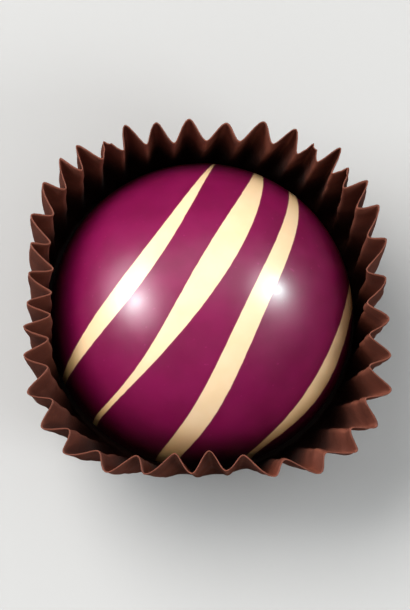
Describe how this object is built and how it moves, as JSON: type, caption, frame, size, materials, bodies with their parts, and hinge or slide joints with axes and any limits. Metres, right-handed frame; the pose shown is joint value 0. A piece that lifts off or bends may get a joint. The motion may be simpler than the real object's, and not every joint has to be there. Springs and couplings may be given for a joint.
{
  "type": "chocolate bonbon",
  "caption": "Glossy plum-coloured dome bonbon with slanting ivory stripes, standing in a pleated dark brown paper case whose rim spreads at the corners.",
  "frame": {"origin": "centre of the flat underside of the paper case", "axes": "+Z up through the top of the dome; seen from above with +Y up, the stripes run from lower left to upper right"},
  "size_m": [0.0358, 0.0353, 0.0185],
  "materials": {
    "plum_shell": "glossy tempered chocolate shell coloured plum, with flush ivory stripes",
    "brown_paper": "dark brown greaseproof paper with a faint sheen"
  },
  "bodies": {
    "root": {"bonbon": "plum_shell", "paper_case": "brown_paper"}
  },
  "joints": []
}
